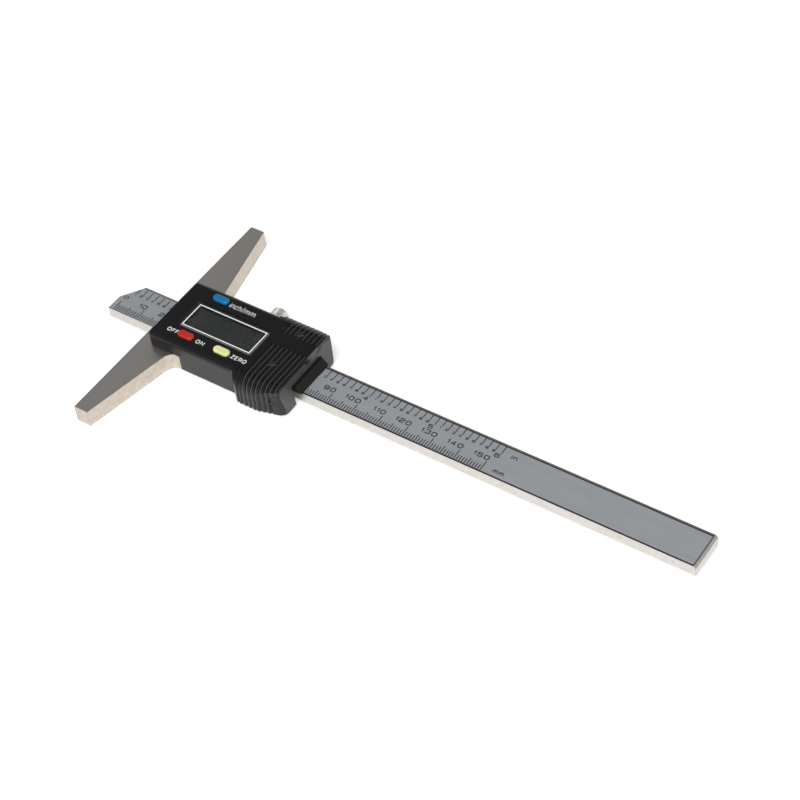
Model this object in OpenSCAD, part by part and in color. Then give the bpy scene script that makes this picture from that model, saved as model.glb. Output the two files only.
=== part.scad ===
// Digital depth gauge, 0 to 150 mm, with a 100 mm measuring base.
// Millimetres. X runs along the rod from the measuring face towards the tail,
// Y across the rod, Z up out of the display. The origin lies on the measuring
// face, at the rod's middle plane, on the surface the gauge lies on.
// The rod slides along X through a U channel milled in the steel base.

/* [Rod] */
// Width of the rod
rod_w = 14.3; // [12:0.1:16]
// Thickness of the rod
rod_t = 3.9; // [3.2:0.1:4.2]
// Length of the rod from tip to tail
rod_len = 229.6; // [215:0.1:260]
// How far the tip stands out of the measuring face at rest
rod_out = 20.1; // [12:0.1:30]
// Length of the bevel at the tip, along the rod
tip_bevel_len = 5.6; // [3:0.1:8]
// Bevel of the upper edge at the tail
tail_bevel = 0.8; // [0.3:0.1:1]
// Width of the flat measuring end of the tip
tip_flat = 6.3; // [4:0.1:9]
// Depth of the recess that holds the grid and the scale
recess_depth = 0.6; // [0.4:0.05:0.9]
// Steel rim left beside the recess on the millimetre side
rim_near = 0.5; // [0.3:0.05:1]
// Steel rim left beside the recess on the inch side
rim_far = 0.8; // [0.3:0.05:1.2]
// Steel rim left behind the recess at the tail
rim_tail = 1.1; // [0.6:0.1:3]
// Thickness of the printed scale
scale_t = 0.15; // [0.1:0.05:0.2]

/* [Measuring base] */
// Length of the measuring face
base_len = 100; // [80:1:120]
// Thickness of the base, from the surface to its top
base_t = 6.8; // [6.4:0.1:7.4]
// Width of an arm at its end
arm_end_w = 5.6; // [4.5:0.1:7]
// How much wider the arm gets for each millimetre towards the rod
arm_taper = 0.204; // [0.12:0.002:0.24]
// Half width of the steel root under the housing
root_half = 13.95; // [13.6:0.05:14.2]
// Radius between the arm and the steel root under the housing
root_r = 4.5; // [2:0.1:6]
// Steel under the rod
floor_t = 2.25; // [2:0.05:2.6]
// Half width of the steel frame inside the housing
frame_half_w = 12.1; // [11.8:0.05:12.2]
// End of the steel frame
frame_end = 58.2; // [57.8:0.1:58.4]
// Running clearance of the rod in its channel, each side
rod_clear = 0.05; // [0.03:0.01:0.08]
// Thickness of the gib strip beside the rod
gib_t = 0.6; // [0.4:0.05:0.8]

/* [Housing] */
// Left end of the housing
hous_x0 = 4.2; // [4:0.1:4.6]
// How far the front wall leans back at the top
front_lean = 0.6; // [0.3:0.1:0.8]
// Right end of the housing at its foot
hous_x1 = 60.9; // [60.7:0.1:61.4]
// How far the end wall leans back at the top
end_lean = 1.5; // [1:0.1:1.8]
// Gap between the housing's foot and the surface
foot_gap = 0.9; // [0.6:0.1:1.4]
// Half width beside the display
disp_half_w = 14.5; // [14.3:0.1:14.9]
// Half width of the grip
grip_half_w = 17.4; // [17:0.1:18]
// Radius of the front corners, seen from above
front_corner_r = 1.5; // [0.5:0.1:2.5]
// Radius of the long top edges beside the display
disp_edge_r = 2.2; // [1.8:0.1:2.6]
// Radius of the long top edges of the grip
grip_edge_r = 5.5; // [5:0.1:6.2]
// Wall of the housing
wall = 1.5; // [1.3:0.05:1.6]
// Where the grip reaches its full width
grip_x = 44; // [43.8:0.1:44.2]
// Where the grip starts to narrow again
grip_taper_x = 51; // [49:0.1:53]
// Width of the slot for the rod in the end wall, each side of the middle
exit_half_w = 8.4; // [8.1:0.1:8.8]

/* [Display] */
// Middle of the display along the rod
disp_x = 26.4; // [26:0.1:26.8]
// Length of the window
window_l = 30.7; // [30:0.1:31]
// Width of the window
window_w = 12.6; // [12:0.1:13]
// Thickness of the window
window_t = 0.95; // [0.8:0.05:1.1]
// Length of the view under the window
view_l = 27.4; // [26:0.1:28.2]
// Width of the view under the window
view_w = 9.3; // [8.6:0.1:10]
// Length of the display glass
glass_l = 32; // [31:0.1:32.4]
// Width of the display glass
glass_w = 13.4; // [12.8:0.1:13.6]
// Thickness of the display glass
glass_t = 2.2; // [1.8:0.1:2.4]

/* [Buttons] */
// Length of a button
btn_l = 6.4; // [5:0.1:7]
// Width of a button
btn_w = 2.9; // [2.4:0.1:3.2]
// Height of a button above the housing
btn_h = 0.9; // [0.5:0.1:1.2]
// Travel of a button
btn_travel = 0.5; // [0.3:0.05:0.6]
// Flange that keeps a button in its hole
btn_flange = 0.5; // [0.3:0.05:0.6]
// Place of the unit button along the rod
unit_btn_x = 17.5; // [16.5:0.1:18]
// Place of the power button along the rod
power_btn_x = 17.2; // [16.5:0.1:18]
// Place of the zero button along the rod
zero_btn_x = 32.4; // [31.5:0.1:33.5]

/* [Covers] */
// Number of grooves across each cover
groove_n = 8; // [5:1:9]
// Distance from one groove to the next
groove_pitch = 1.81; // [1.6:0.01:1.9]
// Place of the first groove on the covers
groove_x = 45.3; // [45:0.1:45.8]
// Width of a groove at the surface
groove_w = 0.9; // [0.5:0.05:1.1]
// Depth of a groove
groove_d = 0.5; // [0.3:0.05:0.6]
// Top wall of the covers
cover_t = 0.85; // [0.7:0.05:1]
// Side wall of the covers
cover_side_t = 1.3; // [1.1:0.05:1.5]
// Inner edge of the battery cover, beyond the middle
batt_edge_y = 2.1; // [1.6:0.1:2.6]
// Inner edge of the port cover
port_edge_y = 8; // [7.6:0.1:8.4]
// Clearance round each cover
cover_gap = 0.1; // [0.05:0.01:0.15]

/* [Button cell] */
// Diameter of the cell
cell_d = 11.6; // [11.4:0.1:11.8]
// Height of the cell
cell_h = 5.35; // [5:0.05:5.4]
// Place of the cell along the rod
cell_x = 50.2; // [49.8:0.1:50.6]
// Distance of the cell from the middle
cell_y = 6.2; // [6.1:0.1:6.4]
// Room between the rod's face and the cell
cell_room = 0.25; // [0.2:0.05:0.5]

/* [Lock screw] */
// Place of the lock screw along the rod
lock_x = 33.8; // [33:0.1:34.5]
// Diameter of the knurled knob
knob_d = 6.4; // [5.5:0.1:7]
// Length of the knurled part
knob_l = 5.9; // [4.5:0.1:7]
// Outer end of the knob, from the rod's middle
knob_end_y = 21.5; // [20.5:0.1:23]
// Diameter of the screw's shank
shank_d = 3; // [2.5:0.1:3.2]
// Radial clearance of the shank in its bore
shank_clear = 0.05; // [0.03:0.01:0.08]
// Travel of the lock pad towards the gib
lock_travel = 0.25; // [0.1:0.05:0.3]
// Flutes round the knurled knob
knurl_n = 24; // [16:2:36]
// Depth of the knurl
knurl_d = 0.18; // [0.1:0.02:0.3]

/* [Screws] */
// Diameter of the screws that hold the housing
hs_d = 1.4; // [1.2:0.1:1.5]
// Diameter of their heads
hs_head_d = 2.4; // [2.2:0.1:2.6]
// Place of the front pair along the rod
hs_x_front = 24.8; // [24.4:0.1:25.2]
// Place of the rear pair along the rod
hs_x_rear = 56.6; // [56.4:0.1:56.7]
// Distance of the front pair from the middle
hs_y_front = 10; // [9.8:0.1:10.2]
// Distance of the rear pair from the middle
hs_y_rear = 10.5; // [10.3:0.1:10.6]
// Distance between the gib screws and the lock screw
gib_screw_dx = 7; // [6:0.1:8]
// Diameter of the gib screws
gib_screw_d = 1.8; // [1.6:0.1:2]
// Diameter of the screws that hold the sensor board
bs_d = 1.4; // [1.2:0.1:1.6]
// Place of the board's front screws along the rod
bs_x_front = 9.4; // [9:0.1:10]
// Distance of the board's screws from the middle
bs_y = 9.8; // [9.6:0.1:10]

/* [Sensor board] */
// Thickness of the sensor board
board_t = 0.8; // [0.6:0.1:1]
// Gap between the scale and the board
sense_gap = 0.15; // [0.1:0.05:0.2]

/* [Hidden] */
$fn = 64;

eps = 0.01;
big = 200;
// gap between pieces that sit on each other
seat_gap = 0.02;
// radial clearance of the small screws
screw_clear = 0.05;

// Rod
rod_z0 = floor_t + rod_clear;
rod_top = rod_z0 + rod_t;
rod_half = rod_w / 2;
tip_x = -rod_out;
tail_x = tip_x + rod_len;
recess_z = rod_top - recess_depth;

// Steel frame
frame_half = frame_half_w;
near_wall_y = rod_half + rod_clear;
gib_y0 = rod_half + rod_clear;
gib_y1 = gib_y0 + gib_t;
far_wall_y = gib_y1 + 0.1;
edge_gap = 0.2;
seat_z = rod_top + sense_gap;
board_z1 = seat_z + board_t;
seat_x = hous_x0 + wall + 0.2;
arm_root_w = arm_end_w + arm_taper * (base_len / 2 - root_half);
root_x1 = arm_root_w + root_r * tan(45 - atan(arm_taper) / 2);
plastic_x = root_x1 + 0.3;

// Housing, as high as the rod, the cell and the cover on it need
hous_top = rod_top + cell_room + cell_h + 0.05 + cover_gap + cover_t;
skin_t = 1.2;
skin_z = hous_top - skin_t;
grip_core_z = hous_top - cover_t - cover_gap;
grip_core_y = grip_half_w - cover_side_t - cover_gap;
grip_roof_t = 3;
grip_roof_z = hous_top - grip_roof_t;
cav_half = frame_half + 0.3;
cav_x0 = hous_x0 + wall;
cav_x1 = frame_end + 0.8;
cover_x0 = groove_x - groove_pitch / 2;
hous_x0_top = hous_x0 + front_lean;
hous_x1_top = hous_x1 - end_lean;
grip_overlap = 4;
shoulder_r = 3.2;
inner_corner_r = 1.2;
corner_r = 3.1;
flank_fall = 1.8;
fall_a = atan(flank_fall / (hous_x1 - corner_r - grip_taper_x));
exit_top = rod_top + 2.5;
lip_reach = 2.4;
lip_gap = 0.1;
hook_t = 0.65;
hook_w = 1.5;
rail_z = 5.9;
rail_h = 0.5;
rail_d = 0.5;

// Display
window_z1 = hous_top - 0.15;
window_z0 = window_z1 - window_t;
ledge_z0 = window_z0 - 0.8;
glass_z1 = ledge_z0 - 0.1;
glass_z0 = glass_z1 - glass_t;
glass_step = 0.8;
dframe_wall = 0.7;
dframe_l = glass_l + 2 * dframe_wall;
dframe_w = glass_w + 2 * dframe_wall;
roof_x = disp_x + dframe_l / 2 + edge_gap;

// Buttons: the near ones lie beside the display frame, the far one by the wall
near_btn_y = dframe_w / 2 + btn_w / 2 + btn_flange + 0.15;
far_btn_y = cav_half - btn_w / 2 - btn_flange - 0.25;
dome_d = 4;
dome_h = 0.5;
btn_room = 0.3;
flange_t = 0.7;

// Cell
cell_z1 = grip_core_z - 0.05;
cell_z0 = cell_z1 - cell_h;
board_cut_x = cell_x - cell_d / 2 - 0.6;
board_cut_y = -cell_y + cell_d / 2 + 0.3;
leaf_t = 0.12;
leaf_w = 3;
leaf_off = 4.8;
leaf_y = -cell_y - leaf_off;
leaf_end_x = cell_x + 2.5;

// Data port
pad_n = 4;
pad_pitch = 1.9;
pad_w = 1;
port_mid_x = 50.6;
port_l = 8.4;

// Chip under its drop of resin
chip_d = 8;
chip_h = 0.9;

// Lock screw
lock_z = rod_z0 + rod_t / 2;
knob_y0 = knob_end_y - knob_l;
neck_d = knob_d * 0.62;
pad_len = 1.2;
pad_y0 = gib_y1 + lock_travel + 0.03;
shank_y0 = pad_y0 + pad_len + seat_gap;

// Screws
pilot_z1 = grip_roof_z - 0.5;
boss_wall = 0.7;
head_t = 0.75;
head_sunk = 0.3;
bore_deep = 1.1;
bs_len = 2;
bs_head_t = 0.6;

// ---------- helpers ----------

// A box given by two corners
module span(a, b) {
    translate(a) cube([b[0] - a[0], b[1] - a[1], b[2] - a[2]]);
}

// A copy mirrored across the rod's middle plane
module both_sides() {
    children();
    mirror([0, 1, 0]) children();
}

// Rectangle about the origin with round corners
module round_rect(l, w, r) {
    square([l - 2 * r, w], center = true);
    square([l, w - 2 * r], center = true);
    for (sx = [-1, 1], sy = [-1, 1])
        translate([sx * (l / 2 - r), sy * (w / 2 - r)]) circle(r);
}

// Pill outline about the origin, its long way along X
module pill(l, w) {
    square([l - w, w], center = true);
    for (s = [-1, 1]) translate([s * (l - w) / 2, 0]) circle(d = w);
}

// Cross-section of a housing part, in Y and Z: flat top, round upper edges
module hous_section(half, r) {
    translate([-half, foot_gap]) square([2 * half, hous_top - r - foot_gap]);
    translate([-half + r, foot_gap]) square([2 * (half - r), hous_top - foot_gap]);
    for (s = [-1, 1]) translate([s * (half - r), hous_top - r]) circle(r);
}

// Turns an outline in Y and Z into a bar along X
module bar_x(x0, x1) {
    translate([x0, 0, 0]) rotate([90, 0, 90]) linear_extrude(x1 - x0) children();
}

// Turns an outline in X and Z into a bar along Y
module bar_y(y0, y1) {
    translate([0, y1, 0]) rotate([90, 0, 0]) linear_extrude(y1 - y0) children();
}

// ---------- steel ----------

// Plan of one half of the measuring base, with its tapered arm and root radius
module base_plan_half() {
    lean = atan(arm_taper);
    reach = root_x1 - arm_root_w;
    polygon([[0, 0], [0, base_len / 2], [arm_end_w, base_len / 2],
        [arm_root_w, root_half], [root_x1, root_half], [root_x1, 0]]);
    // the corner between arm and root, filled up to the radius
    difference() {
        polygon([[arm_root_w - 0.1, root_half - 0.1],
            [arm_root_w - reach * sin(lean), root_half + reach * cos(lean)],
            [root_x1, root_half + root_r], [root_x1, root_half - 0.1]]);
        translate([root_x1, root_half + root_r]) circle(root_r);
    }
}

// Room for the rod, the gib strip beside it and the seat for the board
module rod_channel() {
    span([-eps, -near_wall_y, floor_t], [frame_end + eps, near_wall_y, base_t + eps]);
    span([seat_x, 0, floor_t], [frame_end + eps, far_wall_y, base_t + eps]);
    span([seat_x, -frame_half - eps, seat_z], [frame_end + eps, frame_half + eps, base_t + eps]);
}

module housing_screw_at() {
    for (s = [-1, 1]) {
        translate([hs_x_front, s * hs_y_front, 0]) children();
        translate([hs_x_rear, s * hs_y_rear, 0]) children();
    }
}

module board_screw_at() {
    x_rear = board_cut_x + 0.8;
    for (p = [[bs_x_front, -bs_y], [bs_x_front, bs_y], [x_rear, bs_y]])
        translate([p[0], p[1], 0]) children();
}

// Bore along Y, from y0 to y1
module cross_bore(x, y0, y1, d) {
    translate([x, y0, lock_z]) rotate([-90, 0, 0]) cylinder(h = y1 - y0, d = d);
}

// Measuring base and slider frame, one piece of hardened steel
module base_frame() {
    color("lightgray") difference() {
        union() {
            linear_extrude(base_t) both_sides() base_plan_half();
            span([root_x1 - 1, -frame_half, 0], [frame_end, frame_half, base_t]);
        }
        rod_channel();
        cross_bore(lock_x, far_wall_y - 1, frame_half + 3, shank_d + 2 * shank_clear);
        for (s = [-1, 1])
            cross_bore(lock_x + s * gib_screw_dx, far_wall_y - 1, frame_half + 3,
                gib_screw_d + 2 * screw_clear);
        housing_screw_at() {
            translate([0, 0, -eps]) cylinder(h = big, d = hs_d + 0.3);
            translate([0, 0, -eps]) cylinder(h = bore_deep, d = hs_head_d + 0.2);
        }
        board_screw_at() translate([0, 0, seat_z - bs_len - edge_gap])
            cylinder(h = big, d = bs_d + 2 * screw_clear);
        // pocket for the leaf under the cell
        span([board_cut_x - edge_gap, leaf_y - edge_gap, seat_z - 0.3],
            [leaf_end_x + edge_gap, leaf_y + leaf_w + edge_gap, base_t + 1]);
    }
}

// Bronze strip that takes up the rod's side play
module gib_strip() {
    color("darkgoldenrod")
        span([seat_x + 0.3, gib_y0 + seat_gap, rod_z0 + 0.2],
            [frame_end - 0.6, gib_y1, rod_top - 0.3]);
}

// Two slotted set screws that press the gib strip
module gib_screws() {
    y0 = gib_y1 + seat_gap;
    color("dimgray") for (s = [-1, 1]) difference() {
        cross_bore(lock_x + s * gib_screw_dx, y0, frame_half - 0.1, gib_screw_d);
        span([lock_x + s * gib_screw_dx - 0.2, frame_half - 0.7, lock_z - 2],
            [lock_x + s * gib_screw_dx + 0.2, frame_half + 1, lock_z + 2]);
    }
}

// Brass plug between the lock screw and the gib strip
module lock_pad() {
    color("gold") cross_bore(lock_x, pad_y0, pad_y0 + pad_len, shank_d);
}

// Knurled thumb screw
module lock_screw() {
    color("silver") {
        cross_bore(lock_x, shank_y0, knob_y0 + 0.2, shank_d);
        cross_bore(lock_x, knob_y0 - 0.6, knob_y0 + 0.1, neck_d);
        difference() {
            translate([lock_x, knob_y0, lock_z]) rotate([-90, 0, 0]) rotate_extrude()
                polygon([[0, 0], [knob_d / 2 - 0.4, 0], [knob_d / 2, 0.4],
                    [knob_d / 2, knob_l - 0.4], [knob_d / 2 - 0.4, knob_l], [0, knob_l]]);
            // flutes of the knurl
            for (i = [0 : knurl_n - 1]) translate([lock_x, knob_y0 - 1, lock_z])
                rotate([-90, i * 360 / knurl_n, 0]) translate([knob_d / 2, 0, 0])
                    rotate([0, 0, 45]) translate([-knurl_d * 0.7, -knurl_d * 0.7, 0])
                        cube([knurl_d * 1.4, knurl_d * 1.4, knob_l + 2]);
        }
    }
}

// Steel measuring rod with a bevelled tip and a recess along its face
module rod() {
    color("gainsboro") difference() {
        translate([0, 0, rod_z0]) linear_extrude(rod_t)
            polygon([[tip_x, -rod_half], [tail_x, -rod_half], [tail_x, rod_half],
                [tip_x + tip_bevel_len, rod_half], [tip_x, tip_flat - rod_half]]);
        span([tip_x - 1, -rod_half + rim_near, recess_z],
            [tail_x - rim_tail, rod_half - rim_far, rod_top + 1]);
        bar_y(-rod_w, rod_w) polygon([[tail_x - tail_bevel, rod_top],
            [tail_x - tail_bevel, rod_top + 1], [tail_x + 1, rod_top + 1],
            [tail_x + 1, rod_top - tail_bevel - 1]]);
    }
}

// Outline of the strips that lie in the rod's recess
module strip_plan(gap) {
    intersection() {
        polygon([[tip_x, -rod_half], [tail_x, -rod_half], [tail_x, rod_half],
            [tip_x + tip_bevel_len, rod_half], [tip_x, tip_flat - rod_half]]);
        translate([tip_x - 1, -rod_half + rim_near + gap])
            square([rod_len + 1 - rim_tail - gap, rod_w - rim_near - rim_far - 2 * gap]);
    }
}

// Circuit strip with the pattern that the sensor reads
module grid_strip() {
    color("darkgreen") translate([0, 0, recess_z])
        linear_extrude(recess_depth - scale_t) strip_plan(0.05);
}

// Printed foil with the millimetre and inch scales
module scale_label() {
    color("darkgray") translate([0, 0, rod_top - scale_t])
        linear_extrude(scale_t) strip_plan(0.05);
}

// ---------- electronics ----------

// Circuit board that reads the rod, screwed to the frame and cut out for the cell
module sensor_board() {
    x0 = seat_x + edge_gap;
    x1 = frame_end - 0.6;
    half = frame_half - edge_gap;
    notch = hs_d / 2 + 1.1;
    color("forestgreen") difference() {
        translate([0, 0, seat_z]) linear_extrude(board_t)
            polygon([[x0, -half], [board_cut_x, -half], [board_cut_x, board_cut_y],
                [x1, board_cut_y], [x1, hs_y_rear - notch], [hs_x_rear - notch, hs_y_rear - notch],
                [hs_x_rear - notch, half], [x0, half]]);
        housing_screw_at() cylinder(h = big, d = hs_d + 2 * boss_wall + 0.2);
        board_screw_at() cylinder(h = big, d = bs_d + 0.3);
    }
}

// Part of a ball, flat underneath, of diameter d and height h
module ball_cap(d, h) {
    r = (d * d / 4 + h * h) / (2 * h);
    rotate_extrude() intersection() {
        translate([0, h - r]) circle(r, $fn = 720);
        square([d, h]);
    }
}

// Chip under a black drop of resin
module measuring_chip() {
    color("black") translate([disp_x, 0, board_z1]) ball_cap(chip_d, chip_h);
}

// Small screws that hold the board
module board_screws() {
    color("silver") board_screw_at() difference() {
        union() {
            translate([0, 0, seat_z - bs_len]) cylinder(h = board_t + bs_len + bs_head_t, d = bs_d);
            translate([0, 0, board_z1 + seat_gap]) cylinder(h = bs_head_t, d = bs_d * 1.8);
        }
        for (a = [0, 90]) rotate([0, 0, a])
            translate([0, 0, board_z1 + bs_head_t]) cube([bs_d * 1.4, 0.3, 0.5], center = true);
    }
}

// Places of the three buttons
module unit_at() { translate([unit_btn_x, far_btn_y, 0]) children(); }
module power_at() { translate([power_btn_x, -near_btn_y, 0]) children(); }
module zero_at() { translate([zero_btn_x, -near_btn_y, 0]) children(); }

// Snap domes on the board, one under each button
module switch_domes() {
    color("goldenrod") {
        unit_at() dome();
        power_at() dome();
        zero_at() dome();
    }
}

module dome() { translate([0, 0, board_z1]) ball_cap(dome_d, dome_h); }

// Plastic frame that holds the display glass over the board
module display_frame() {
    color("whitesmoke") difference() {
        translate([disp_x, 0, board_z1]) linear_extrude(glass_z1 - board_z1)
            round_rect(dframe_l, dframe_w, 1);
        translate([disp_x, 0, glass_z0 - seat_gap]) linear_extrude(big)
            square([glass_l + 0.2, glass_w + 0.2], center = true);
        translate([disp_x, 0, 0]) linear_extrude(big)
            square([glass_l - 2, glass_w - 0.4], center = true);
    }
}

// Two bonded glass plates, the lower one wider for its contacts
module display_glass() {
    color("darkseagreen") translate([disp_x, 0, 0]) {
        translate([-glass_l / 2, -glass_w / 2, glass_z0]) cube([glass_l, glass_w, glass_t / 2]);
        translate([-glass_l / 2, -glass_w / 2 + glass_step, glass_z0 + glass_t / 2 - eps])
            cube([glass_l, glass_w - 2 * glass_step, glass_t / 2 + eps]);
    }
}

// Striped rubber connectors between board and glass
module contact_strips() {
    strip_w = 1.2;
    strip_inset = 1.6;
    color("pink") both_sides() translate([disp_x, glass_w / 2 - 0.4 - strip_w, board_z1])
        translate([-glass_l / 2 + strip_inset, 0, 0])
            cube([glass_l - 2 * strip_inset, strip_w, glass_z0 - seat_gap - board_z1]);
}

// Clear window glued in the housing
module display_window() {
    color("lightcyan", 0.4) translate([disp_x, 0, window_z0])
        linear_extrude(window_t) round_rect(window_l, window_w, 0.6);
}

// Button cell, with the step of its crimped rim
module button_cell() {
    r = cell_d / 2;
    color("silver") translate([cell_x, -cell_y, cell_z0]) rotate_extrude()
        polygon([[0, 0], [r - 1, 0], [r - 0.9, 0.35], [r - 0.35, 0.35], [r, 0.7],
            [r, cell_h - 0.3], [r - 0.3, cell_h], [0, cell_h]]);
}

// Spring contacts of the cell: a leaf under it, and a wall beside it
module cell_contacts() {
    t = leaf_t;
    z_low = cell_z0 - seat_gap - t;
    x_up = board_cut_x + 0.2;
    y_rim = -cell_y + cell_d / 2 + seat_gap;
    color("gold") {
        bar_y(leaf_y, leaf_y + leaf_w)
            polygon([[leaf_end_x, z_low], [leaf_end_x, z_low + t], [x_up + t, z_low + t],
                [x_up + t, board_z1 + t], [x_up - 2.2, board_z1 + t], [x_up - 2.2, board_z1],
                [x_up, board_z1], [x_up, z_low]]);
        bar_x(cell_x - 2.5, cell_x + 2.5)
            polygon([[y_rim, board_z1 - 0.3], [y_rim + t, board_z1 - 0.3],
                [y_rim + t, board_z1], [y_rim + 2.8, board_z1], [y_rim + 2.8, board_z1 + t],
                [y_rim + t, board_z1 + t], [y_rim + t, board_z1 + 2.2], [y_rim, board_z1 + 2.2]]);
    }
}

// Pads of the data port at the board's far edge
module port_contacts() {
    color("gold") for (i = [0 : pad_n - 1])
        translate([port_mid_x + (i - (pad_n - 1) / 2) * pad_pitch, frame_half - 1.45, board_z1])
            translate([-pad_w / 2, -1.15, 0]) cube([pad_w, 2.3, 0.1]);
}

// ---------- housing ----------

// Where the flank of the grip lies: straight at first, then falling inwards
function flank_y(x) = grip_half_w - max(0, x - grip_taper_x) * tan(fall_a);

// Plan of the grip: shoulder, straight flank, taper and round corner
module grip_plan_half() {
    cx = hous_x1 - corner_r;
    cy = flank_y(cx) - corner_r / cos(fall_a);
    tx = cx + corner_r * sin(fall_a);
    ty = cy + corner_r * cos(fall_a);
    polygon([[grip_x, 0], [grip_x, grip_half_w], [grip_taper_x, grip_half_w],
        [tx, ty], [cx, cy], [hous_x1, cy], [hous_x1, 0]]);
    translate([cx, cy]) circle(corner_r);
    shoulder_y = grip_half_w - shoulder_r;
    translate([grip_x, shoulder_y]) circle(shoulder_r);
    translate([grip_x - shoulder_r, 0]) square([shoulder_r + 1, shoulder_y]);
    // inside radius between the display side and the shoulder
    in_r = inner_corner_r;
    difference() {
        translate([grip_x - shoulder_r - in_r + 0.1, disp_half_w - 1]) square([in_r + 0.6, in_r + 1]);
        translate([grip_x - shoulder_r - in_r + 0.1, disp_half_w + in_r]) circle(in_r);
    }
}

// Outer form of the grip
module grip_form() {
    intersection() {
        linear_extrude(hous_top + 1) both_sides() grip_plan_half();
        bar_x(0, hous_x1 + 1) hous_section(grip_half_w, grip_edge_r);
    }
}

// Outer form of the whole housing, its front and end walls leaning back
module housing_form() {
    intersection() {
        union() {
            bar_x(hous_x0, hous_x1 - grip_overlap) hous_section(disp_half_w, disp_edge_r);
            grip_form();
        }
        bar_y(-big / 2, big / 2) polygon([[hous_x0, 0], [hous_x1, 0], [hous_x1, foot_gap],
            [hous_x1_top, hous_top + eps], [hous_x0_top, hous_top + eps],
            [hous_x0, base_t]]);
        linear_extrude(hous_top + 1) front_plan();
    }
}

// Plan that rounds the two front corners
module front_plan() {
    half = disp_half_w - front_corner_r;
    translate([hous_x0, -half]) square([hous_x1, 2 * half]);
    translate([hous_x0 + front_corner_r, -big / 2]) square([hous_x1, big]);
    for (s = [-1, 1]) translate([hous_x0 + front_corner_r, s * half]) circle(front_corner_r);
}

// V groove that runs over the top from y_in, round the edge and down the side
module groove(x, y_in, top = true, side = true) {
    w = groove_w / 2;
    y_arc = grip_half_w - grip_edge_r;
    z_arc = hous_top - grip_edge_r;
    if (top)
        bar_y(y_in, y_arc + eps) polygon([[x - w, hous_top + eps], [x + w, hous_top + eps],
            [x, hous_top - groove_d]]);
    translate([x, y_arc, z_arc]) rotate([0, 90, 0]) rotate([0, 0, 90])
        rotate_extrude(angle = 90)
            polygon([[grip_edge_r + eps, -w], [grip_edge_r + eps, w], [grip_edge_r - groove_d, 0]]);
    y_side = flank_y(x);
    z_side = z_arc + sqrt(pow(grip_edge_r, 2) - pow(y_side - y_arc, 2));
    if (side)
        translate([0, 0, -1]) linear_extrude(z_side + 1 + eps)
            polygon([[x - w, flank_y(x - w) + eps], [x - w, grip_half_w + 1],
                [x + w, grip_half_w + 1], [x + w, flank_y(x + w) + eps],
                [x, y_side - groove_d]]);
}

// All grooves of one side
module grooves(y_in) {
    for (i = [0 : groove_n - 1]) groove(groove_x + i * groove_pitch, y_in, true, i < groove_n - 1);
    for (i = [1, 2]) groove(groove_x - i * groove_pitch, y_in, false);
}

// Section of the core under the covers, in Y and Z
module core_section(grow) {
    half = grip_core_y + grow;
    top = grip_core_z + grow;
    r = grip_edge_r - 1;
    translate([-half, -2]) square([2 * half, top - r + 2]);
    translate([-half + r, -2]) square([2 * (half - r), top + 2]);
    for (s = [-1, 1]) translate([s * (half - r), top - r]) circle(r);
}

// Space that a cover takes: outside the core, behind its front edge
module cover_space(y_edge, gap) {
    difference() {
        span([cover_x0 - gap, y_edge - gap, -1], [hous_x1 + 2, big / 2, hous_top + 1]);
        bar_x(cover_x0 - 3, hous_x1 + 3) core_section(cover_gap - gap);
    }
}

// Rails of a cover, as far as x_end: a hook under the housing's top skin
// and a rib on the side, both grown by gap where they are cut out
module cover_rails(y_edge, gap, x_end) {
    x0 = cover_x0 + 0.4 - gap;
    hook_z0 = skin_z - 0.15 - hook_t;
    span([x0, y_edge + 0.2 - gap, hook_z0 - gap],
        [x_end, y_edge + hook_w + gap, grip_core_z + cover_gap + eps]);
    span([x0, y_edge - 1.2 - gap, hook_z0 - gap],
        [x_end, y_edge + hook_w + gap, hook_z0 + hook_t + gap / 2]);
    span([x0, grip_core_y - rail_d - gap, rail_z - gap],
        [x_end, grip_core_y + cover_gap + eps, rail_z + rail_h + gap]);
}

// A sliding cover on the +Y side
module cover(y_edge) {
    intersection() {
        difference() {
            housing_form();
            grooves(y_edge + 0.3);
        }
        cover_space(y_edge, 0);
    }
    intersection() {
        housing_form();
        cover_rails(y_edge, 0, hous_x1 + 1);
    }
}

// Boss with a pilot bore for a housing screw
module screw_boss(roof) {
    difference() {
        translate([0, 0, board_z1 + 0.15])
            cylinder(h = roof - board_z1, d = hs_d + 2 * boss_wall);
        cylinder(h = pilot_z1, d = hs_d + 2 * screw_clear);
    }
}

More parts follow.
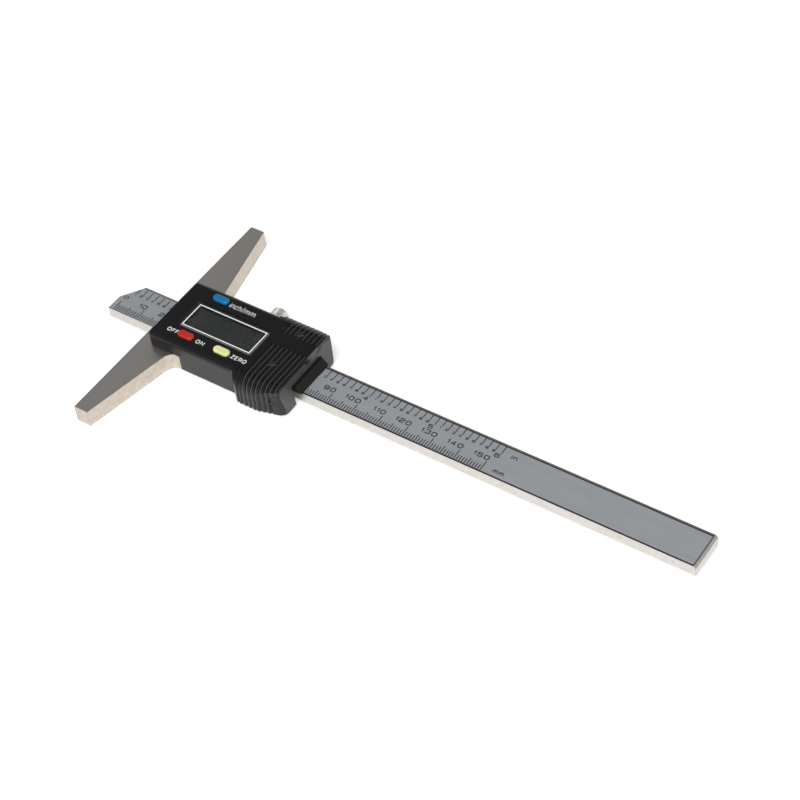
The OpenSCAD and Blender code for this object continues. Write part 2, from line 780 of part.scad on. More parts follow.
// Black moulded housing
module front_housing() {
    color([0.12, 0.12, 0.12]) difference() {
        union() {
            difference() {
                housing_form();
                // grooves go on beside the covers
                both_sides() grooves(grip_half_w - grip_edge_r);
                span([cav_x0, -cav_half, -1], [roof_x, cav_half, skin_z]);
                span([roof_x - 1, -cav_half, -1], [cav_x1, cav_half, grip_roof_z]);
                // the steel base passes under the front
                span([-1, -big / 2, -1], [plastic_x, big / 2, base_t + 0.1]);
            }
            // ledge that carries the window
            translate([disp_x, 0, ledge_z0]) linear_extrude(skin_z - ledge_z0 + eps)
                square([window_l + 2, window_w + 2], center = true);
            translate([hs_x_front, hs_y_front, 0]) screw_boss(skin_z);
            translate([hs_x_front, -hs_y_front, 0]) screw_boss(skin_z);
            translate([hs_x_rear, hs_y_rear, 0]) screw_boss(grip_roof_z);
            translate([hs_x_rear, -hs_y_rear, 0]) screw_boss(grip_roof_z);
        }
        // window seat and view
        translate([disp_x, 0, window_z0 - seat_gap]) linear_extrude(big)
            round_rect(window_l + 0.2, window_w + 0.2, 0.7);
        translate([disp_x, 0, 0]) linear_extrude(big) square([view_l, view_w], center = true);
        unit_at() button_hole();
        power_at() button_hole();
        zero_at() button_hole();
        // exit of the rod, with the recess of the wiper
        span([cav_x1 - 1, -exit_half_w, -1], [hous_x1 + 1, exit_half_w, exit_top]);
        // lock screw and gib screws
        cross_bore(lock_x, frame_half, disp_half_w + wall, neck_d + 0.6);
        for (s = [-1, 1])
            cross_bore(lock_x + s * gib_screw_dx, frame_half, disp_half_w + wall,
                gib_screw_d + 0.4);
        // sliding covers and their rails
        cover_space(port_edge_y, cover_gap);
        cover_rails(port_edge_y, cover_gap, hous_x1 + 1);
        mirror([0, 1, 0]) {
            cover_space(-batt_edge_y, cover_gap);
            cover_rails(-batt_edge_y, cover_gap, hous_x1 + 1);
        }
        // cell well and data port
        translate([cell_x, -cell_y, -1]) cylinder(h = big, d = cell_d + 0.4);
        span([port_mid_x - port_l / 2, cav_half - 1, board_z1 + 0.1],
            [port_mid_x + port_l / 2, grip_half_w + 1, grip_roof_z - 0.2]);
    }
}

// Hole of a button, with room for its flange
module button_hole() {
    hole_down = 2;
    hole_h = 5;
    translate([0, 0, skin_z - hole_down]) linear_extrude(hole_h)
        pill(btn_l + btn_room, btn_w + btn_room);
}

// Button with a round top and a flange under the housing's skin
module push_button() {
    edge_r = 0.6;
    z1 = hous_top + btn_h;
    flange_z1 = skin_z - 0.1;
    flange_z0 = flange_z1 - flange_t;
    translate([0, 0, flange_z0]) linear_extrude(flange_t)
        pill(btn_l + 2 * btn_flange, btn_w + 2 * btn_flange);
    translate([0, 0, flange_z0]) linear_extrude(z1 - edge_r - flange_z0) pill(btn_l, btn_w);
    // rounded crown: a straight middle and two turned ends
    rotate([90, 0, 90]) translate([0, 0, -(btn_l - btn_w) / 2]) linear_extrude(btn_l - btn_w)
        for (s = [0, 1]) mirror([s, 0]) crown_half(z1, edge_r);
    for (s = [-1, 1]) translate([s * (btn_l - btn_w) / 2, 0, 0]) rotate_extrude()
        crown_half(z1, edge_r);
    // stem down to the dome
    stem_z0 = board_z1 + dome_h + btn_travel + seat_gap;
    translate([0, 0, stem_z0]) cylinder(h = flange_z0 + 0.1 - stem_z0, d = 1.6);
}

// Half of a button's upper section
module crown_half(z1, r) {
    translate([0, z1 - r - 0.2]) square([btn_w / 2, 0.2]);
    translate([0, z1 - r]) square([btn_w / 2 - r, r]);
    translate([btn_w / 2 - r, z1 - r]) intersection() {
        circle(r);
        square(r);
    }
}

module unit_button() { color("dodgerblue") unit_at() push_button(); }
module power_button() { color("firebrick") power_at() push_button(); }
module zero_button() { color("khaki") zero_at() push_button(); }

module battery_cover() { color([0.2, 0.2, 0.2]) mirror([0, 1, 0]) cover(-batt_edge_y); }
module port_cover() { color([0.25, 0.25, 0.25]) cover(port_edge_y); }

// Screws from the back, through the frame into the bosses
module housing_screws() {
    color("gray") housing_screw_at() difference() {
        union() {
            translate([0, 0, head_sunk]) cylinder(h = head_t, d = hs_head_d);
            translate([0, 0, head_sunk + 0.2]) cylinder(h = pilot_z1 - 0.9, d = hs_d);
        }
        // cross slot
        for (a = [0, 90]) rotate([0, 0, a])
            translate([-0.8, -0.16, 0]) cube([1.6, 0.32, head_t]);
    }
}

// Rubber lip over the rod where it leaves the housing
module rod_wiper() {
    lip_half = exit_half_w - 0.1;
    z0 = rod_top + lip_gap;
    lip_x = hous_x1 + lip_reach;
    back_x = cav_x1 - 0.1;
    color([0.1, 0.1, 0.1]) {
        bar_y(-lip_half + 0.5, lip_half - 0.5)
            polygon([[back_x, z0], [lip_x, z0], [lip_x, z0 + 0.25],
                [hous_x1 + 0.1, exit_top - 0.1], [back_x, exit_top - 0.1]]);
        span([frame_end + 0.15, -lip_half, z0], [back_x + eps, lip_half, exit_top + 0.6]);
    }
}

base_frame();
gib_strip();
gib_screws();
lock_pad();
lock_screw();
rod();
grid_strip();
scale_label();
sensor_board();
measuring_chip();
board_screws();
switch_domes();
display_frame();
display_glass();
contact_strips();
display_window();
button_cell();
cell_contacts();
port_contacts();
front_housing();
housing_screws();
rod_wiper();
unit_button();
power_button();
zero_button();
battery_cover();
port_cover();
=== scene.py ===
# %% [markdown]
# A digital depth gauge, dressed for a studio photograph. The exact solids come in as a frame that
# stays as it is; this lesson adds the finishes, the printing, the knurl and the light. Everything
# is in metres: X runs along the rod to its tail, Y across it, Z up out of the display.

# %% Load the frame
import math
import bpy
from mathutils import Matrix, Vector


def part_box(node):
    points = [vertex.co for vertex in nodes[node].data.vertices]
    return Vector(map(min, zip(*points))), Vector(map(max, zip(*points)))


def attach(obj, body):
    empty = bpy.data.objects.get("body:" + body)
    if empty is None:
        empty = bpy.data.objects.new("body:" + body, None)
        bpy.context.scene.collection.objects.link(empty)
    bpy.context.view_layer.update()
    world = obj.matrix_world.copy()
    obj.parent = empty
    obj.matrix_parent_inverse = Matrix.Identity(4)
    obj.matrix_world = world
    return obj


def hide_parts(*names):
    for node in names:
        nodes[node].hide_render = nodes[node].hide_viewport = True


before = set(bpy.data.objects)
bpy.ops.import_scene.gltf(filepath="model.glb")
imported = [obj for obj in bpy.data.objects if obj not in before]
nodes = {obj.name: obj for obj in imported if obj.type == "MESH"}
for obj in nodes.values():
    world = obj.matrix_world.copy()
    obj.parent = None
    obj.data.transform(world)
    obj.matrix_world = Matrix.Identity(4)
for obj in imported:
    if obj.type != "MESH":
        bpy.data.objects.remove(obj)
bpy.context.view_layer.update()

MM = 0.001

# %% [markdown]
# Colours are written as they look on a screen, in sRGB hex, and the renderer wants linear light.
# Linear numbers could be typed in at once, but nobody can judge them by eye. One function turns the
# one into the other, so that every colour below can be compared with a picture.

# %% Colours
def colour(code):
    """Linear RGBA from an sRGB hex colour."""
    out = []
    for i in (0, 2, 4):
        c = int(code.lstrip("#")[i:i + 2], 16) / 255
        out.append(c / 12.92 if c <= 0.04045 else ((c + 0.055) / 1.055) ** 2.4)
    return (*out, 1.0)


print("red #c6271d is", [round(c, 3) for c in colour("#c6271d")])

# %% [markdown]
# A material is a tree of nodes round one Principled shader, which already knows how metal, plastic
# and glass throw light back. The trees could be joined by hand in the shader editor. Here one small
# function adds a node with its settings and links, so that each finish below reads as a few lines
# and can be made again.

# %% Nodes and materials
def add(tree, kind, values=(), links=(), **props):
    """Adds one node. values sets its input sockets, links joins them to output sockets."""
    n = tree.nodes.new(kind)
    for key, value in props.items():
        setattr(n, key, value)
    for key, value in dict(values).items():
        n.inputs[key].default_value = value
    for key, source in dict(links).items():
        tree.links.new(source, n.inputs[key])
    return n


def new_finish(name, values):
    """A material with one Principled shader. Gives the material, its tree and the shader."""
    m = bpy.data.materials.new(name)
    m.use_nodes = True
    shader = m.node_tree.nodes["Principled BSDF"]
    for key, value in values.items():
        shader.inputs[key].default_value = value
    m.diffuse_color = shader.inputs["Base Color"].default_value[:]
    return m, m.node_tree, shader


print("materials before the first finish:", len(bpy.data.materials))

# %% [markdown]
# No real surface is one flat colour, nor equally smooth all over. Noise in the object's own space,
# with grains of a real size, shifts colour, roughness and relief a little. Edges that grinding or a
# mould has broken by less than a tenth of a millimetre could be modelled; a bevel node shades them
# as if they were round and leaves the solid as it is.

# %% Grain, colour and relief
NOISE_LOW, NOISE_HIGH = 0.3, 0.7  # a noise texture mostly lies between these


def grain(tree, size, stretch=(1, 1, 1), detail=3.0):
    """Noise whose grains measure about size metres, times stretch along X, Y and Z."""
    where = add(tree, "ShaderNodeTexCoord")
    scaled = add(tree, "ShaderNodeMapping", {"Scale": [1 / (size * s) for s in stretch]},
                 {"Vector": where.outputs["Object"]})
    return add(tree, "ShaderNodeTexNoise", {"Scale": 1.0, "Detail": detail},
               {"Vector": scaled.outputs["Vector"]}).outputs["Fac"]


def shades(tree, noise, dark, light, floor=NOISE_LOW, top=NOISE_HIGH):
    """Colours from a dark hex code to a light one, as the noise goes from floor to top."""
    share = add(tree, "ShaderNodeMapRange", {"From Min": floor, "From Max": top},
                {"Value": noise})
    return add(tree, "ShaderNodeMix", {"A": colour(dark), "B": colour(light)},
               {"Factor": share.outputs["Result"]}, data_type="RGBA").outputs["Result"]


def roughen(tree, noise, low, high, socket):
    """Feeds a socket with a roughness that drifts from low to high with the noise."""
    drift = add(tree, "ShaderNodeMapRange", {"From Min": NOISE_LOW, "From Max": NOISE_HIGH,
                                             "To Min": low, "To Max": high}, {"Value": noise})
    tree.links.new(drift.outputs["Result"], socket)


def rough_up(tree, shader, height, depth, edge=0.0):
    """Small relief of that depth in metres, on edges that shade as if rounded by edge metres."""
    bump = add(tree, "ShaderNodeBump", {"Strength": 1.0, "Distance": depth}, {"Height": height})
    if edge:
        soft = add(tree, "ShaderNodeBevel", {"Radius": edge}, samples=12)
        tree.links.new(soft.outputs["Normal"], bump.inputs["Normal"])
    tree.links.new(bump.outputs["Normal"], shader.inputs["Normal"])


print("noise is spread from", NOISE_LOW, "to", NOISE_HIGH)

# %% [markdown]
# The measuring base is hardened stainless steel. Its broad faces are ground on a magnetic chuck,
# which leaves a soft, slightly blurred mirror with very fine lines along the arms. Its edges are
# milled, then blasted: rougher, warmer and faintly blotched. A brushed picture could be painted on,
# but noise tied to real sizes, and a colour chosen by which way a face looks, stay sharp anywhere.
# The rod is the same steel, ground along its length.

# %% Ground stainless steel
BLASTED = 0.12  # how much rougher the blasted edges are than the ground faces
GRIND_DEPTH, BROKEN_EDGE = 0.0003 * MM, 0.1 * MM


def facing(tree, axis):
    """How far a face looks along X, Y or Z, from -1 to 1."""
    where = add(tree, "ShaderNodeNewGeometry")
    split = add(tree, "ShaderNodeSeparateXYZ", links={"Vector": where.outputs["Normal"]})
    return split.outputs[axis]


def broad_faces(tree):
    """1 on faces that look up or down, 0 on the edges of a plate."""
    level = add(tree, "ShaderNodeMath", links={0: facing(tree, "Z")}, operation="ABSOLUTE")
    return add(tree, "ShaderNodeMapRange", {"From Min": 0.5, "From Max": 0.8},
               {"Value": level.outputs[0]}).outputs["Result"]


def ground_steel(name, face, edges, stretch, rough):
    """face is the colour of the ground faces, edges are the two colours of the blasted ones."""
    m, tree, shader = new_finish(name, {"Metallic": 1.0, "Base Color": colour(face)})
    lines = grain(tree, 0.35 * MM, stretch)  # real lines stand 0.05 mm apart, too fine to show
    blotched = shades(tree, grain(tree, 1.5 * MM, detail=5.0), *edges, floor=0.28, top=0.72)
    broad = broad_faces(tree)
    mixed = add(tree, "ShaderNodeMix", {"B": colour(face)}, {"Factor": broad, "A": blotched},
                data_type="RGBA")
    tree.links.new(mixed.outputs["Result"], shader.inputs["Base Color"])
    upright = add(tree, "ShaderNodeMath", {0: 1.0}, {1: broad}, operation="SUBTRACT")
    total = add(tree, "ShaderNodeMath", {1: BLASTED}, {0: upright.outputs[0]},
                operation="MULTIPLY_ADD")
    roughen(tree, lines, rough - 0.03, rough + 0.04, total.inputs[2])
    tree.links.new(total.outputs[0], shader.inputs["Roughness"])
    rough_up(tree, shader, lines, GRIND_DEPTH, edge=BROKEN_EDGE)
    return m


ALONG_ARMS, ALONG_ROD = (1, 60, 1), (60, 1, 1)  # grinding lines are about 60 times as long as wide
base_steel = ground_steel("ground_stainless_base", "#d6d1cb", ("#c0b5a8", "#d4cabf"), ALONG_ARMS,
                          0.36)
rod_steel = ground_steel("ground_stainless_rod", "#cbc8c3", ("#c8c4bf", "#d5d1cc"), ALONG_ROD, 0.3)
print("steel finishes:", base_steel.name, rod_steel.name)

# %% [markdown]
# The scale is printed on a thin satin aluminium foil that is glued into the rod's recess. Light
# falls off it evenly, with only a broad sheen, and a faint rolling grain runs along the rod. A full
# metal would mirror the sky and the lamp, so it is made only partly metallic, and rather rough. The
# ink on it is screen printed: matt, dense and even.

# %% Satin foil and printing ink
foil, tree, shader = new_finish("satin_aluminium_foil",
                                {"Base Color": colour("#afb4b8"), "Metallic": 0.45})
rolled = grain(tree, 0.4 * MM, (40, 1, 1))  # rolling grain, drawn coarser than the real 0.1 mm
tree.links.new(shades(tree, rolled, "#abb0b4", "#b3b8bc"), shader.inputs["Base Color"])
roughen(tree, rolled, 0.4, 0.5, shader.inputs["Roughness"])


def flat_ink(name, light, dark):
    """Matt ink with the faint mottling that a screen of 0.15 mm mesh leaves."""
    m, tree, shader = new_finish(name, {"Base Color": colour(light), "Roughness": 0.55})
    tree.links.new(shades(tree, grain(tree, 0.15 * MM), dark, light), shader.inputs["Base Color"])
    return m


black_ink = flat_ink("black_screen_ink", "#25262a", "#1a1b1e")
white_ink = flat_ink("white_screen_ink", "#fafaf8", "#f0f0ee")
print("foil and inks:", foil.name, black_ink.name, white_ink.name)

# %% [markdown]
# The housing and its two covers are moulded in black ABS. The mould is spark eroded, so the skin
# has an even, very fine grain that breaks reflections into a soft grey sheen and swallows part of
# them: the index starts from the 1.54 of ABS and is set a little lower here. The end wall has a
# coarser skin than the rest, and it is painted a lighter grey: painted light, for the light that
# this wall catches. Along one edge of each rib of the covers a thin pale line is painted: a painted
# highlight, where that edge would catch the light. A tiny chamfer could be modelled to catch it;
# a painted line placed by the grooves' real spacing looks the same and leaves the solid as it is.

# %% Moulded black ABS
ABS_INDEX = 1.54
# A mould's usual grain, its width and depth. Real grains are 0.1 mm wide, too fine to show.
SKIN = (0.3 * MM, 0.004 * MM)
GROOVE_X = 45.3 * MM  # middle of the first groove across the covers, as in the solid
GROOVE_PITCH, GROOVE_HALF = 1.81 * MM, 0.45 * MM
RIBS_END = 59.2 * MM  # no rib lies behind this place
HIGHLIGHT_WIDTH = 0.22 * MM  # width of the painted highlight line


def rib_highlight_mask(tree):
    """1 on the painted highlight line behind each groove of a cover, 0 elsewhere."""
    where = add(tree, "ShaderNodeTexCoord")
    place = add(tree, "ShaderNodeSeparateXYZ", links={"Vector": where.outputs["Object"]})
    past = add(tree, "ShaderNodeMath", {1: GROOVE_X + GROOVE_HALF}, {0: place.outputs["X"]},
               operation="SUBTRACT")
    step = add(tree, "ShaderNodeMath", {1: GROOVE_PITCH}, {0: past.outputs[0]},
               operation="FLOORED_MODULO")
    near = add(tree, "ShaderNodeMath", {1: HIGHLIGHT_WIDTH}, {0: step.outputs[0]}, operation="LESS_THAN")
    ribbed = add(tree, "ShaderNodeMath", {1: RIBS_END}, {0: place.outputs["X"]},
                 operation="LESS_THAN")
    return add(tree, "ShaderNodeMath", links={0: near.outputs[0], 1: ribbed.outputs[0]},
               operation="MULTIPLY").outputs[0]


def end_wall(tree):
    """1 on the wall that looks to the tail, 0 elsewhere."""
    return add(tree, "ShaderNodeMapRange", {"From Min": 0.85, "From Max": 0.95},
               {"Value": facing(tree, "X")}).outputs["Result"]


def moulded(name, light, dark, rough, grit, depth, ior=ABS_INDEX, edge=0.0, painted_end_light=None, painted_rib_highlight=None):
    """Cast or moulded skin. The last two colours are painted light: end wall and ribs' edges."""
    m, tree, shader = new_finish(name, {"Base Color": colour(light), "IOR": ior})
    skin = grain(tree, grit)
    shade = shades(tree, grain(tree, 6 * MM), dark, light)  # the colour drifts over about 6 mm
    # Painted light: a lighter end wall, and a painted highlight along each rib's edge.
    for code, place in ((painted_end_light, end_wall), (painted_rib_highlight, rib_highlight_mask)):
        if code:
            shade = add(tree, "ShaderNodeMix", {"B": colour(code)},
                        {"Factor": place(tree), "A": shade}, data_type="RGBA").outputs["Result"]
    tree.links.new(shade, shader.inputs["Base Color"])
    roughen(tree, skin, rough - 0.04, rough + 0.06, shader.inputs["Roughness"])
    rough_up(tree, shader, skin, depth, edge)
    return m


# The housing's spark grain turns every mirror image into a soft grey sheen.
# Its end wall is painted a lighter grey: painted light.
housing_abs = moulded("spark_grained_black_abs", "#0d0d0d", "#090909", 0.3, 0.3 * MM, 0.005 * MM,
                      ior=1.47, painted_end_light="#464645")
# The covers' mould is polished a little more: a deeper black with clearer bands of light.
# Its pale lines along the ribs' edges are painted highlights.
cover_abs = moulded("polished_black_abs", "#0c0c0c", "#080808", 0.26, 0.4 * MM, 0.004 * MM,
                    ior=1.44, painted_rib_highlight="#585857")
# Etched marks scatter the light, so they look matt and greyer than the cover round them.
arrow_abs = moulded("etched_black_abs", "#1e1e1e", "#171717", 0.5, *SKIN)
# The rubber lip round the rod is dull, with a faint sheen along its slope.
wiper_rubber = moulded("moulded_nitrile_rubber", "#0f0f0f", "#0b0b0b", 0.36, 0.5 * MM, 0.003 * MM)
print("black plastics:", housing_abs.name, cover_abs.name, arrow_abs.name, wiper_rubber.name)

# %% [markdown]
# The three keys are moulded in coloured ABS with a smooth, slightly worn skin. Each colour tells
# the finger what it does: blue for the unit, red for power, yellow for zero. One material could
# pick its colour by the key; three calls of one function let each colour be matched on its own.

# %% Coloured keys
KEY_EDGE = 0.045 * MM  # fingers round the edges a little more
key_blue = moulded("moulded_blue_abs", "#0578b2", "#056ea6", 0.33, *SKIN, edge=KEY_EDGE)
key_red = moulded("moulded_red_abs", "#c6271d", "#b92219", 0.36, *SKIN, edge=KEY_EDGE)
key_yellow = moulded("moulded_yellow_abs", "#f1f0ac", "#e9e7a0", 0.38, *SKIN, edge=KEY_EDGE)
print("keys:", key_blue.name, key_red.name, key_yellow.name)

# %% [markdown]
# The display is a liquid crystal cell: two glass plates over a grey-green reflector. In front of
# it stands a clear acrylic window, so what the eye sees is the dark reflector through two glossy
# layers. One dark glossy plate could stand for both, but two real layers shift against each other
# as the eye moves. Segments that are switched off still leave a shadow, a shade darker than the
# reflector.

# %% Window and display glass
window_acrylic, tree, shader = new_finish("clear_cast_acrylic", {
    "Base Color": colour("#f2f5f4"), "IOR": 1.49, "Transmission Weight": 1.0, "Roughness": 0.02})
roughen(tree, grain(tree, 3 * MM), 0.01, 0.04, shader.inputs["Roughness"])
lcd_glass, tree, shader = new_finish("liquid_crystal_glass", {
    "Base Color": colour("#363d3a"), "IOR": 1.52, "Roughness": 0.25})
tree.links.new(shades(tree, grain(tree, 2 * MM), "#2e3532", "#353c39"),
               shader.inputs["Base Color"])
segment_ink = flat_ink("liquid_crystal_shadow", "#0b0f0d", "#080c0a")
print("display:", window_acrylic.name, lcd_glass.name, segment_ink.name)

# %% [markdown]
# Small metal pieces: nickel on the lock screw and the cell, brass and bronze on the plug and the
# gib, black oxide on set screws. Nickel is a warm, bright mirror that tumbling leaves a bit soft.
# On the knurl the small faces scatter it further, so it is paler and rougher there. Scratches could
# be modelled too; on pieces this small, clouds in colour and roughness are all that shows.

# %% Plated and oxidised metals
def plated(name, light, dark, rough):
    """Metal whose plating or oxide clouds over every millimetre or so."""
    m, tree, shader = new_finish(name, {"Base Color": colour(light), "Metallic": 1.0})
    cloud = grain(tree, 1.2 * MM)
    tree.links.new(shades(tree, cloud, dark, light), shader.inputs["Base Color"])
    roughen(tree, cloud, rough - 0.04, rough + 0.06, shader.inputs["Roughness"])
    return m


nickel = plated("tumbled_nickel_plate", "#c8c6c2", "#b6b4b0", 0.32)  # a warm, soft mirror
knurl_nickel = plated("satin_nickel_knurl", "#d8d6d2", "#cac8c4", 0.45)  # pale and scattered
brass = plated("turned_brass", "#d9b866", "#c7a556", 0.3)  # yellow, bright from turning
bronze = plated("rolled_spring_bronze", "#c98f58", "#b87f4b", 0.34)  # redder and duller than brass
oxide = plated("black_oxide_steel", "#4a4a4c", "#39393b", 0.4)  # dark grey with a metal sheen
gold = plated("flash_gold_plate", "#e2bf6a", "#d2ae5a", 0.22)  # thin, smooth and the brightest
print("metals:", nickel.name, brass.name, bronze.name, oxide.name, gold.name)

# %% [markdown]
# Inside lie a green circuit board, a drop of black resin over the chip, a white display frame and
# striped silicone strips. They only show when a cover is open and could stay plain, but the same
# function that makes the mouldings gives them their skin at the cost of one line each.

# %% Finishes inside
# Lacquer lies glossy over the board's glass cloth, whose weave shows as a faint relief.
board_green = moulded("solder_mask_green", "#1f6b3a", "#185a30", 0.3, 0.8 * MM, 0.01 * MM)
# Resin flows before it sets, so the drop over the chip is smooth and shines.
resin_drop = moulded("cast_black_resin", "#141414", "#0e0e0e", 0.15, 2 * MM, 0.01 * MM)
# The frame's white skin is matt, with a mould's fine grain.
frame_white = moulded("moulded_white_abs", "#e6e4de", "#dad8d2", 0.4, *SKIN)
# Silicone has a soft, dull skin.
silicone_pink = moulded("striped_silicone", "#dba6a0", "#c98f89", 0.5, 0.2 * MM, 0.01 * MM)
print("inside:", board_green.name, resin_drop.name, frame_white.name, silicone_pink.name)

# %% [markdown]
# Each solid of the frame now gets its finish. Finer meshes could take their places, but the shapes
# are right as they are, so nothing here touches a mesh; only the material slots change.

# %% Finishes on the solids
finishes = {
    "base_frame": base_steel, "rod": rod_steel, "scale_label": foil, "grid_strip": board_green,
    "gib_strip": bronze, "gib_screws": oxide, "lock_pad": brass, "sensor_board": board_green,
    "measuring_chip": resin_drop, "board_screws": nickel, "switch_domes": gold,
    "display_frame": frame_white, "display_glass": lcd_glass, "contact_strips": silicone_pink,
    "display_window": window_acrylic, "button_cell": nickel, "cell_contacts": gold,
    "port_contacts": gold, "front_housing": housing_abs, "housing_screws": oxide,
    "rod_wiper": wiper_rubber, "unit_button": key_blue, "power_button": key_red,
    "zero_button": key_yellow, "battery_cover": cover_abs, "port_cover": cover_abs,
}
for name, finish in finishes.items():
    mesh = nodes[name].data
    mesh.materials.clear()
    mesh.materials.append(finish)
print("finished solids:", len(finishes))

# %% [markdown]
# The places of the printing follow from the solids: the rod's tip and upper face, the housing's
# top and the window. They could be typed in; reading them from the frame keeps the ink on what
# carries it, also when a solid changes.

# %% Places measured on the solids
rod_lo, rod_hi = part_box("rod")
window_lo, window_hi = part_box("display_window")
window_rect = (window_lo.x, window_hi.x, window_lo.y, window_hi.y)
foil_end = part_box("scale_label")[1].x
housing_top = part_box("front_housing")[1].z
glass_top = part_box("display_glass")[1].z
print("rod top", round(rod_hi.z / MM, 2), "housing top", round(housing_top / MM, 2), "mm")

# %% [markdown]
# Printing is a layer of ink a hundredth of a millimetre thick. It could be a picture wrapped round
# the foil; here it is real geometry, closed flat pieces, so it stays sharp from any distance. A
# shape is kept as a list of points and a list of faces until it becomes a piece.

# %% Ink as geometry
INK = 0.012 * MM


def lay(shape, outline, z):
    """Adds a flat patch of ink on height z, over a convex outline that runs counter-clockwise."""
    points, faces = shape
    n, start = len(outline), len(points)
    points += [(x, y, z) for x, y in outline] + [(x, y, z + INK) for x, y in outline]
    faces.append([start + i for i in reversed(range(n))])
    faces.append([start + n + i for i in range(n)])
    for i in range(n):
        j = (i + 1) % n
        faces.append([start + i, start + j, start + n + j, start + n + i])


def corners(x0, x1, y0, y1):
    """A rectangle's corners, counter-clockwise."""
    return [(x0, y0), (x1, y0), (x1, y1), (x0, y1)]


def piece(name, shape, finish, body):
    """A new mesh piece, placed like the solids, that rides on a body."""
    mesh = bpy.data.meshes.new(name)
    mesh.from_pydata(shape[0], [], shape[1])
    mesh.update()
    mesh.materials.append(finish)
    obj = bpy.data.objects.new(name, mesh)
    bpy.context.scene.collection.objects.link(obj)
    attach(obj, body)
    return obj


def patches(obj):
    """How many rectangles of ink a piece has: six faces each."""
    return len(obj.data.polygons) // 6


print("ink is", INK / MM, "mm thick")

# %% [markdown]
# The millimetre scale starts 2.1 mm behind the tip and counts to 150. Every fifth line is longer
# and every tenth the longest. Lines hang on the near side of the foil, and the inch scale, in
# tenths, on the far side. One line could be repeated by an array modifier; a loop can also choose
# each line's length and cut it where the tip is bevelled.

# %% Millimetre and inch lines
INCH = 25.4 * MM
ZERO_X = rod_lo.x + 2.07 * MM
LINE = 0.33 * MM
NEAR_Y, FAR_Y = -6.45 * MM, 6.1 * MM  # where the lines of the two scales start
TEN_Y, FIVE_Y, ONE_Y = -2.33 * MM, -3.45 * MM, -4.25 * MM  # where the millimetre lines end
INCH_Y, TENTH_Y = 2.75 * MM, 3.45 * MM  # where the inch lines end
BEVEL_RUN, BEVEL_FOOT = 5.6 * MM, -0.85 * MM  # the tip's bevel along X, and where it starts in Y
BEVEL_RISE = (rod_hi.y - BEVEL_FOOT) / BEVEL_RUN
CLEAR = 0.1 * MM  # left free of ink beside the bevel


def line(x, y0, y1):
    """One scale line, cut short where the bevel of the tip takes the foil away."""
    x0, x1 = x - LINE / 2, x + LINE / 2
    bevel_y = BEVEL_FOOT + (x0 - rod_lo.x) * BEVEL_RISE
    lay(lines, corners(x0, x1, y0, min(y1, bevel_y - CLEAR)), rod_hi.z)


lines = ([], [])
for i in range(151):
    line(ZERO_X + i * MM, NEAR_Y, TEN_Y if i % 10 == 0 else FIVE_Y if i % 5 == 0 else ONE_Y)
for i in range(1, 61):
    line(ZERO_X + i * INCH / 10, INCH_Y if i % 10 == 0 else TENTH_Y, FAR_Y)
scale_lines = piece("scale_lines", lines, black_ink, "measuring_rod")
print("lines on the scale:", patches(scale_lines))

# %% [markdown]
# The print is wide, square and of one stroke width, as engravers' lettering is. Text objects could
# write it, but the font that they bring doesn't look so. Each sign is therefore a path through a
# unit square, drawn as one strip with mitred corners, and a word is stretched until it fills the
# width that it has on the gauge.

# %% Paths of the signs
# Each stroke lists points as x,y. One that starts with an o is closed.
SIGNS = {
    "0": ["o 0,.25 .2,0 .8,0 1,.25 1,.75 .8,1 .2,1 0,.75"],
    "1": ["0,.68 1,1 1,0"],
    "2": ["0,.76 .18,1 .82,1 1,.82 1,.66 .8,.5 .2,.42 0,.25 0,0 1,0"],
    "3": ["0,.8 .18,1 .82,1 1,.84 1,.66 .8,.52 1,.36 1,.17 .82,0 .18,0 0,.2"],
    "4": ["1,.26 0,.26 .7,1 .7,0"],
    "5": ["1,1 .06,1 .03,.58 .82,.58 1,.42 1,.16 .82,0 .18,0 0,.18"],
    "6": ["1,.84 .82,1 .2,1 0,.8 0,.18 .18,0 .82,0 1,.16 1,.42 .82,.57 .1,.57"],
    "7": ["0,1 1,1 1,.85 .4,0"],
    "8": ["o .2,.53 .05,.67 .05,.86 .2,1 .8,1 .95,.86 .95,.67 .8,.53",
          "o 0,.14 .16,0 .84,0 1,.14 1,.38 .84,.51 .16,.51 0,.38"],
    "9": ["0,.16 .18,0 .8,0 1,.2 1,.82 .82,1 .18,1 0,.84 0,.58 .18,.43 .9,.43"],
    "O": ["o 0,.3 .25,0 .75,0 1,.3 1,.7 .75,1 .25,1 0,.7"],
    "F": ["0,0 0,1 1,1", "0,.5 .85,.5"],
    "N": ["0,0 0,1 1,0 1,1"],
    "Z": ["0,1 1,1 0,0 1,0"],
    "E": ["1,0 0,0 0,1 1,1", "0,.5 .85,.5"],
    "R": ["0,0 0,1 .8,1 1,.85 1,.62 .8,.48 0,.48", ".5,.48 1,0"],
    "i": ["0,0 0,.68", "0,.88 0,1"],
    "n": ["0,0 0,.7", "0,.52 .25,.7 .75,.7 1,.5 1,0"],
    "c": ["1,.56 .78,.7 .22,.7 0,.5 0,.2 .22,0 .78,0 1,.14"],
    "h": ["0,0 0,1", "0,.52 .25,.7 .75,.7 1,.5 1,0"],
    "m": ["0,0 0,.7", "0,.52 .14,.7 .38,.7 .5,.52 .5,0", ".5,.52 .64,.7 .88,.7 1,.52 1,0"],
    "/": ["0,-.1 1,1.1"],
}
# Widths of the signs that are wider or narrower than a plain one, and of the gap between two.
WIDTHS = {"1": 0.42, "O": 1.15, "F": 0.85, "E": 0.9, "i": 0.12, "n": 0.85, "c": 0.8, "h": 0.85,
          "m": 1.5, "/": 0.5}
GAP = 0.27
print("signs:", len(SIGNS))

# %% [markdown]
# A stroke becomes a row of four-cornered patches. At each bend the two outlines meet on the mitre,
# the line that halves the corner, so that neighbours share their ends and no notch or overlap
# shows. A very sharp corner would reach out far; its mitre is held to the width of one stroke.

# %% Strokes and words
SHARPEST = 0.5  # a mitre reaches at most 1 / SHARPEST halves of a stroke


